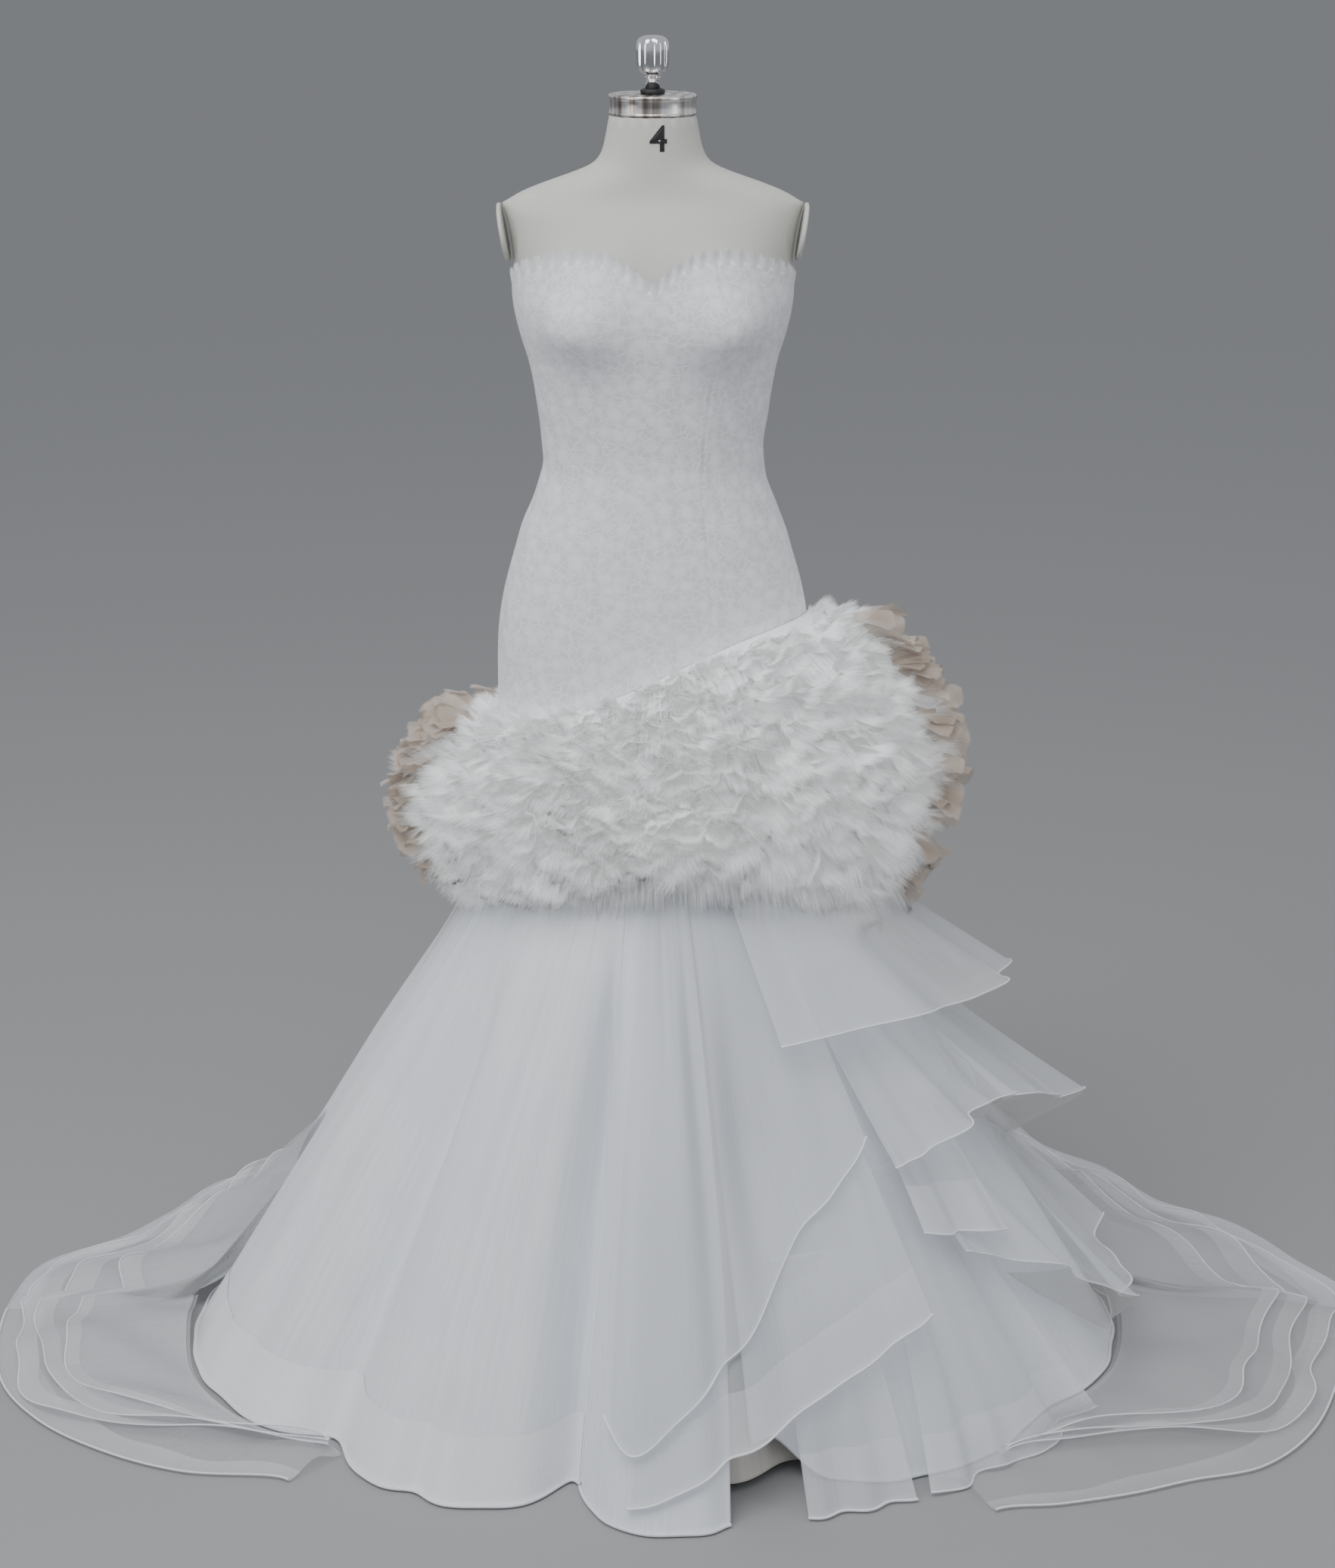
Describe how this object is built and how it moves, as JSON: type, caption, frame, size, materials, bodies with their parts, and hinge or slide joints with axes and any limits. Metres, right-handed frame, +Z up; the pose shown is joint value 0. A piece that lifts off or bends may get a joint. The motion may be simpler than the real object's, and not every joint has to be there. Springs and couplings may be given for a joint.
{
  "type": "mermaid gown on dress form",
  "caption": "Strapless floor-length mermaid gown with a lace bodice, a frilled hip band, cascading flounces and a train, standing on a limbless dress form.",
  "frame": {"origin": "centre of the form's base, on the floor that the base and the train rest on", "axes": "+Z up, the front of the gown faces -Y, +X is the viewer's right and the wearer's left"},
  "size_m": [1.6553, 1.379, 1.5163],
  "materials": {
    "lace": "corded floral lace over satin, matt",
    "eyelash_lace": "scalloped lace edge, matt",
    "tulle": "layered ivory tulle and organza, soft sheen",
    "frill_tulle": "raw-edged gathered tulle, matt",
    "horsehair_band": "stiff woven hem band, slight sheen",
    "satin_lining": "beige satin, soft sheen",
    "form_linen": "off-white linen, matt",
    "neck_cap": "brushed nickel",
    "knob": "polished chrome",
    "stand": "satin black paint",
    "knob_ring": "matt black"
  },
  "bodies": {
    "root": {"bodice_centre_front": "lace", "bodice_side_front_left": "lace", "bodice_side_front_right": "lace", "bodice_side_back_left": "lace", "bodice_side_back_right": "lace", "bodice_back_left": "lace", "bodice_back_right": "lace", "neckline_lace": "eyelash_lace", "frill_tier_1": "frill_tulle", "frill_tier_2": "frill_tulle", "frill_tier_3": "frill_tulle", "frill_tier_4": "frill_tulle", "frill_tier_5": "frill_tulle", "frill_tier_6": "frill_tulle", "skirt_front_left": "tulle", "skirt_centre_tube": "tulle", "skirt_side_right": "tulle", "skirt_back_left": "tulle", "skirt_back_right": "tulle", "train_side_left": "tulle", "train_side_right": "tulle", "hem_band_front_left": "horsehair_band", "skirt_lining": "satin_lining", "front_layer_1": "tulle", "front_layer_2": "tulle", "front_layer_3": "tulle", "flounce_1": "tulle", "flounce_2": "tulle", "flounce_3": "tulle", "flounce_4": "tulle", "flounce_5": "tulle", "form_torso": "form_linen", "form_arm_plate_left": "form_linen", "form_arm_plate_right": "form_linen", "form_neck_cap": "neck_cap", "form_knob_ring": "knob_ring", "form_knob": "knob", "form_pole": "stand", "form_base": "stand"}
  },
  "joints": []
}
